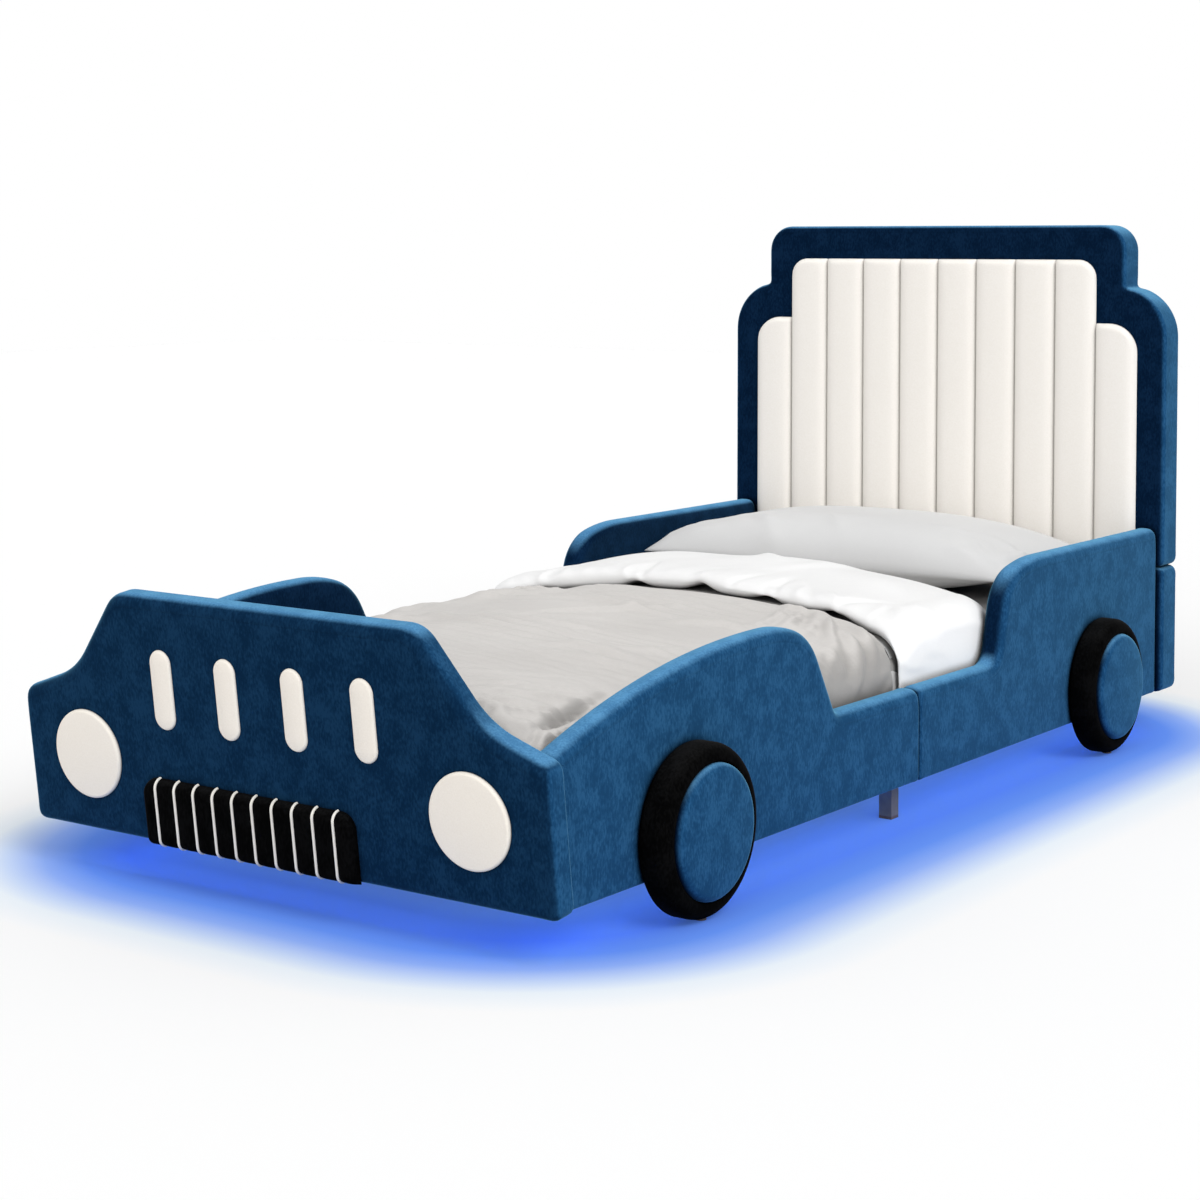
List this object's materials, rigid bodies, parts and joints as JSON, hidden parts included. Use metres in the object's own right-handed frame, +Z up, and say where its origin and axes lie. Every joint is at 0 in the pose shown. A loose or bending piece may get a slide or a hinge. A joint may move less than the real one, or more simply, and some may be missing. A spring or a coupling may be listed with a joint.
{
  "type": "kids bed",
  "caption": "Upholstered single bed shaped like a car, with padded wheels, headlights, grille, light strips under the frame, a channel-stitched headboard, slats and loose bedding.",
  "frame": {"origin": "on the floor, under the middle of the whole bed's box", "axes": "+Z up, +Y from the nose to the headboard, +X to the right seen from the nose end"},
  "size_m": [1.1546, 2.2429, 1.05],
  "materials": {
    "blue_velvet": "matte",
    "black_velvet": "matte",
    "cream_velvet": "matte",
    "cream_cord": "matte",
    "lining_cloth": "matte",
    "plywood": "matte",
    "pine": "matte",
    "webbing": "matte",
    "dark_steel": "satin",
    "zinc_steel": "satin",
    "brown_plastic": "matte",
    "light_strip": "satin",
    "mattress_cover": "matte",
    "duvet_cloth": "matte",
    "pillow_cloth": "matte"
  },
  "bodies": {
    "frame": {"front_panel_jacket": "blue_velvet", "headboard_jacket": "blue_velvet", "headboard_lower_jacket": "blue_velvet", "left_front_rail_jacket": "blue_velvet", "left_front_hub": "blue_velvet", "left_rear_rail_jacket": "blue_velvet", "left_rear_hub": "blue_velvet", "right_front_rail_jacket": "blue_velvet", "right_front_hub": "blue_velvet", "right_rear_rail_jacket": "blue_velvet", "right_rear_hub": "blue_velvet", "grille_pad": "black_velvet", "left_front_tyre": "black_velvet", "left_rear_tyre": "black_velvet", "right_front_tyre": "black_velvet", "right_rear_tyre": "black_velvet", "headboard_channels": "cream_velvet", "left_headlight_pad": "cream_velvet", "right_headlight_pad": "cream_velvet", "hood_slot_pads": "cream_velvet", "grille_piping": "cream_cord", "front_panel_lining": "lining_cloth", "headboard_lining": "lining_cloth", "headboard_lower_lining": "lining_cloth", "front_panel_board": "plywood", "headboard_board": "plywood", "headboard_lower_board": "plywood", "wheel_boards": "plywood", "left_front_rail_board": "plywood", "left_rear_rail_board": "plywood", "right_front_rail_board": "plywood", "right_rear_rail_board": "plywood", "slats": "pine", "left_front_ledger": "pine", "left_rear_ledger": "pine", "right_front_ledger": "pine", "right_rear_ledger": "pine", "slat_straps": "webbing", "left_mid_leg": "dark_steel", "right_mid_leg": "dark_steel", "mid_crossbar": "dark_steel", "leg_plates": "dark_steel", "front_corner_brackets": "zinc_steel", "rear_corner_brackets": "zinc_steel", "rail_splice_plates": "zinc_steel", "headboard_join_plates": "zinc_steel", "corner_screws": "zinc_steel", "rail_splice_screws": "zinc_steel", "headboard_join_screws": "zinc_steel", "wheel_screws": "zinc_steel", "ledger_screws": "zinc_steel", "leg_screws": "zinc_steel", "wheel_glides": "brown_plastic", "leg_glides": "brown_plastic", "light_strips": "light_strip"},
    "mattress": {"mattress": "mattress_cover"},
    "duvet": {"duvet": "duvet_cloth"},
    "pillow": {"pillow": "pillow_cloth"}
  },
  "joints": [
    {"name": "mattress_lift", "type": "slide", "parent": "frame", "child": "mattress", "axis": [0, 0, 1], "range_m": [0, 0.35]},
    {"name": "duvet_lift", "type": "slide", "parent": "mattress", "child": "duvet", "axis": [0, 0, 1], "range_m": [0, 0.2]},
    {"name": "pillow_lift", "type": "slide", "parent": "mattress", "child": "pillow", "axis": [0, 0, 1], "range_m": [0, 0.25]}
  ]
}
